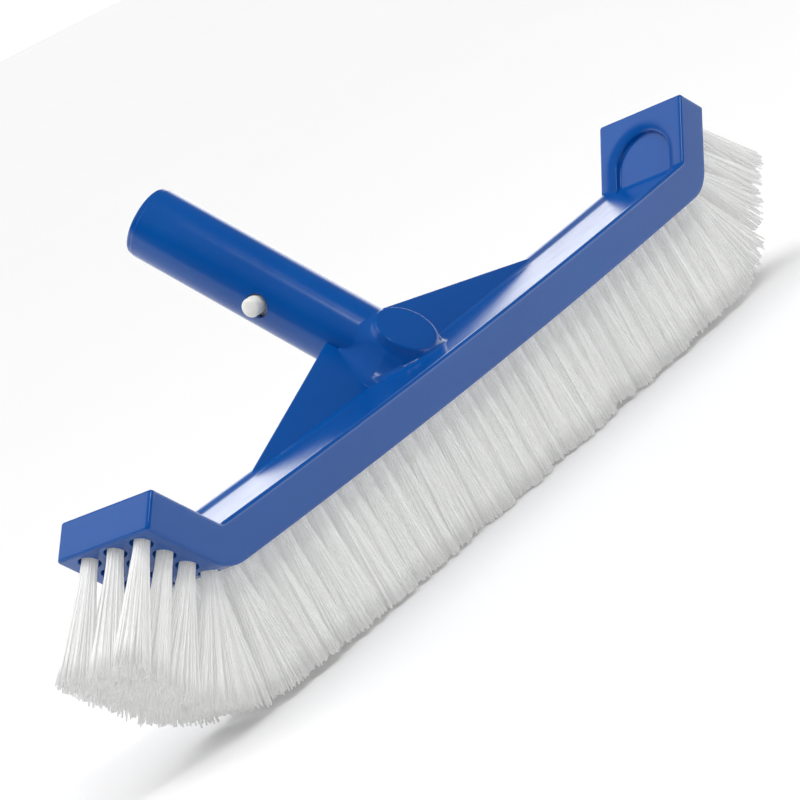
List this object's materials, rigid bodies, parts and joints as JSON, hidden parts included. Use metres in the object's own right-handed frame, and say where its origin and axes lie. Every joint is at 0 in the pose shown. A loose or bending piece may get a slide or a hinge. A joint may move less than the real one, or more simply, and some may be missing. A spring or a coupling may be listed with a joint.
{
  "type": "pool wall brush",
  "caption": "Pool wall brush: blue moulded head with upturned ends, rows of staple-set white tufts, and a slanted hollow spigot with a snap clip for a pole.",
  "frame": {"origin": "the point on the spigot's axis where the lead-in of its mouth begins, 56.6 mm past the snap buttons", "axes": "+X along the head to its right end, -Y the front of the head, +Z away from the bristles"},
  "size_m": [0.4804, 0.1264, 0.155],
  "materials": {
    "body_plastic": "glossy moulded blue polypropylene",
    "clip_plastic": "satin off-white moulded plastic",
    "staple_metal": "plain drawn wire strip",
    "bristle": "translucent white extruded filament"
  },
  "bodies": {
    "root": {"brush_body": "body_plastic", "clip_bend": "clip_plastic", "staples_front_left": "staple_metal", "staples_front_right": "staple_metal", "staples_middle_left": "staple_metal", "staples_middle_right": "staple_metal", "staples_back_left": "staple_metal", "staples_back_right": "staple_metal", "tufts_front_left_inner": "bristle", "tufts_front_left_outer": "bristle", "tufts_front_left_shoulder": "bristle", "tufts_front_left_wing": "bristle", "tufts_front_right_inner": "bristle", "tufts_front_right_outer": "bristle", "tufts_front_right_shoulder": "bristle", "tufts_front_right_wing": "bristle", "tufts_middle_left_inner": "bristle", "tufts_middle_left_outer": "bristle", "tufts_middle_left_shoulder": "bristle", "tufts_middle_left_wing": "bristle", "tufts_middle_right_inner": "bristle", "tufts_middle_right_outer": "bristle", "tufts_middle_right_shoulder": "bristle", "tufts_middle_right_wing": "bristle", "tufts_back_left_inner": "bristle", "tufts_back_left_outer": "bristle", "tufts_back_left_shoulder": "bristle", "tufts_back_left_wing": "bristle", "tufts_back_right_inner": "bristle", "tufts_back_right_outer": "bristle", "tufts_back_right_shoulder": "bristle", "tufts_back_right_wing": "bristle"},
    "left_button": {"clip_arm_left": "clip_plastic"},
    "right_button": {"clip_arm_right": "clip_plastic"}
  },
  "joints": [
    {"name": "left_button_press", "type": "hinge", "parent": "root", "child": "left_button", "pos_m": [-0.003, -0.01891, -0.02145], "axis": [0, -0.7501, 0.6613], "range_deg": [0, 8.5], "stiffness_Nm_per_rad": 1.6, "springref_deg": -11.46},
    {"name": "right_button_press", "type": "hinge", "parent": "root", "child": "right_button", "pos_m": [0.003, -0.01891, -0.02145], "axis": [0, 0.7501, -0.6613], "range_deg": [0, 8.5], "stiffness_Nm_per_rad": 1.6, "springref_deg": -11.46}
  ]
}
